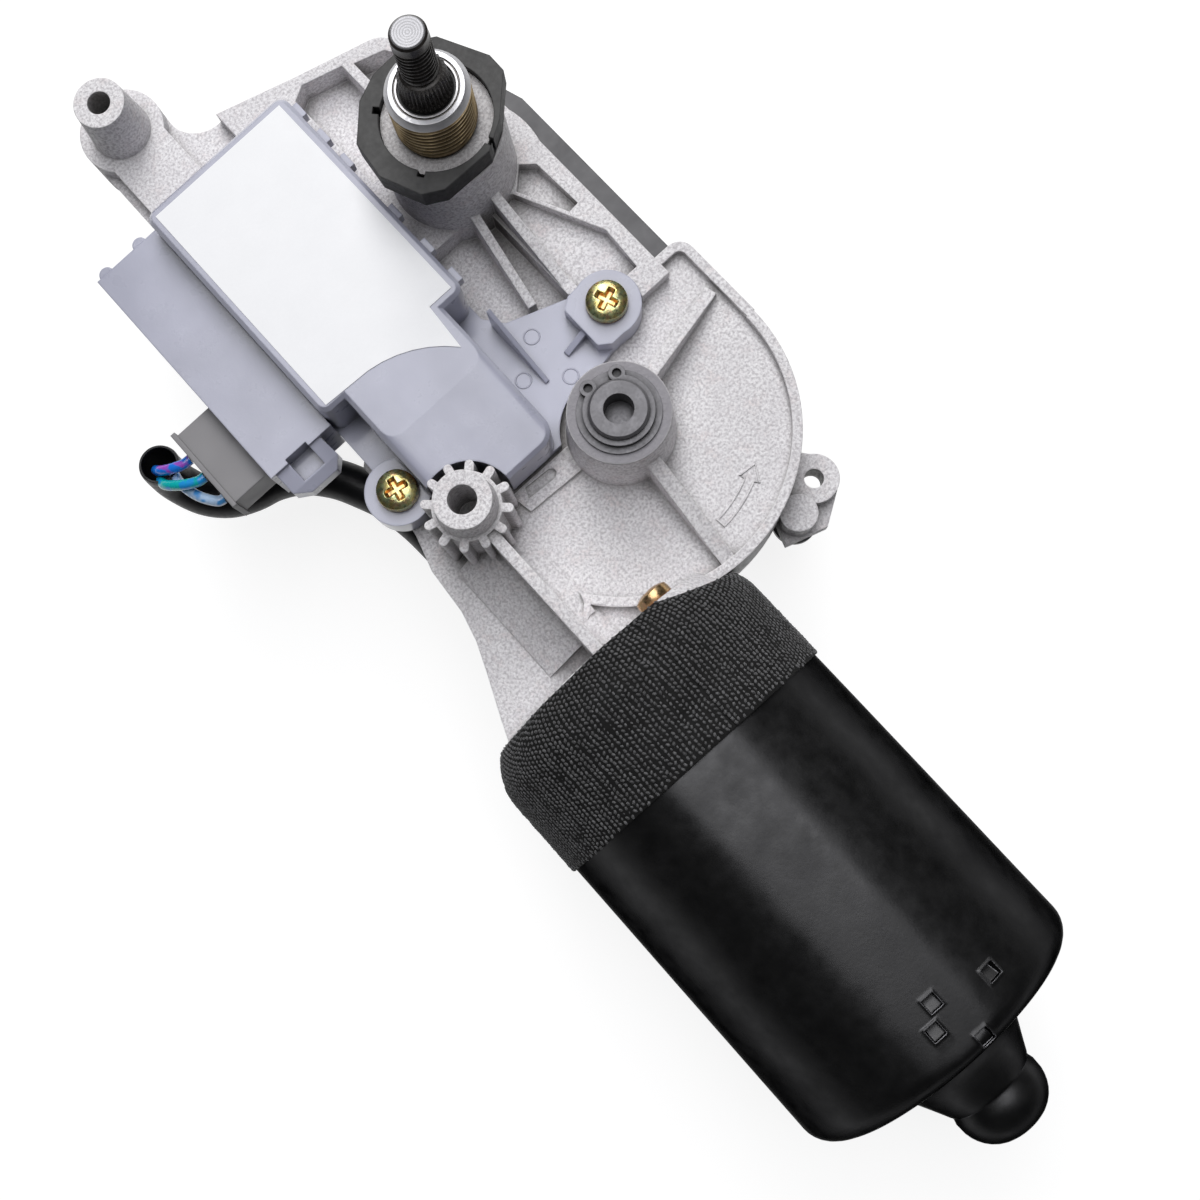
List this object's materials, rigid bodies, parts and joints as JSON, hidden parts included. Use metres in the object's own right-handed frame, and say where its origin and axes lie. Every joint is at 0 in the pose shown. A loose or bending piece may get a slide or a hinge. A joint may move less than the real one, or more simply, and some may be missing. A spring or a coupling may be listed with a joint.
{
  "type": "wiper motor",
  "caption": "Rear wiper motor: die-cast worm gearbox with a splined spindle in a threaded sleeve, motor can, electronics case and lead harness.",
  "frame": {"origin": "on the spindle's axis, at the machined face of the tower that the threaded sleeve stands on", "axes": "+Z outwards along the spindle; -Y along the gearbox towards the motor can; +X to the side away from the electronics case"},
  "size_m": [0.0996, 0.2369, 0.0843],
  "materials": {
    "cast_aluminium": "satin",
    "cover_steel": "satin",
    "gasket": "matte",
    "zinc_screw": "satin",
    "bronze": "satin",
    "sleeve_metal": "satin",
    "seal_rubber": "matte",
    "spindle_steel": "satin",
    "steel": "satin",
    "wheel_plastic": "satin",
    "laminations": "matte",
    "copper": "satin",
    "can_paint": "gloss",
    "ferrite": "matte",
    "holder_plastic": "matte",
    "carbon": "matte",
    "tape": "satin",
    "case_plastic": "satin",
    "board": "satin",
    "black_plastic": "satin",
    "blue_plastic": "satin",
    "label_paper": "matte",
    "plug_plastic": "satin",
    "wire_blue": "satin",
    "wire_teal": "satin",
    "wire_pale": "satin",
    "sleeve_rubber": "satin"
  },
  "bodies": {
    "gearbox": {"gear_housing": "cast_aluminium", "back_cover": "cover_steel", "cover_gasket": "gasket", "cover_screws": "zinc_screw", "spindle_bushes": "bronze", "threaded_sleeve": "sleeve_metal", "tower_seal": "seal_rubber", "spindle_seal": "seal_rubber", "wheel_bush": "bronze", "worm_bush": "bronze", "thrust_ball": "steel", "front_bearing": "steel", "rear_bearing": "bronze", "motor_can": "can_paint", "magnets": "ferrite", "brush_holder": "holder_plastic", "brushes": "carbon", "brush_springs": "steel", "motor_screws": "zinc_screw", "insulation_tape": "tape", "case_base": "case_plastic", "case_cover": "case_plastic", "circuit_board": "board", "relay": "black_plastic", "capacitor": "blue_plastic", "terminal_pins": "bronze", "case_screws": "zinc_screw", "blank_label": "label_paper", "connector_plug": "plug_plastic", "lead_wire_upper": "wire_blue", "lead_wire_middle": "wire_teal", "lead_wire_lower": "wire_pale", "harness_sleeve": "sleeve_rubber", "harness_grommet": "sleeve_rubber"},
    "spindle_unit": {"spindle": "spindle_steel", "spindle_washer": "steel", "spindle_lever": "steel", "lever_pin": "steel"},
    "rod": {"drive_rod": "steel"},
    "wheel": {"worm_wheel": "wheel_plastic", "wheel_shaft": "steel", "crank_pin": "steel", "wheel_circlip": "steel", "thrust_washer": "steel"},
    "armature": {"armature_shaft": "steel", "armature_core": "laminations", "armature_windings": "copper", "commutator": "copper"}
  },
  "joints": [
    {"name": "spindle_swing", "type": "hinge", "parent": "gearbox", "child": "spindle_unit", "pos_m": [0, 0, 0], "axis": [0, 0, 1], "range_deg": [0, 118]},
    {"name": "rod_pivot", "type": "hinge", "parent": "spindle_unit", "child": "rod", "pos_m": [0.00271, -0.01014, -0.034], "axis": [0, 0, 1], "range_deg": [-118, 0]},
    {"name": "wheel_turn", "type": "hinge", "parent": "gearbox", "child": "wheel", "pos_m": [-0.01, -0.0544, -0.0284], "axis": [0, 0, 1], "continuous": true},
    {"name": "armature_turn", "type": "hinge", "parent": "gearbox", "child": "armature", "pos_m": [-0.0385, -0.1, -0.0284], "axis": [0, 1, 0], "continuous": true}
  ],
  "couplings": [
    {"joint": "rod_pivot", "follows": "spindle_swing", "ratio": -1},
    {"joint": "wheel_turn", "follows": "armature_turn", "ratio": 0.020833}
  ]
}
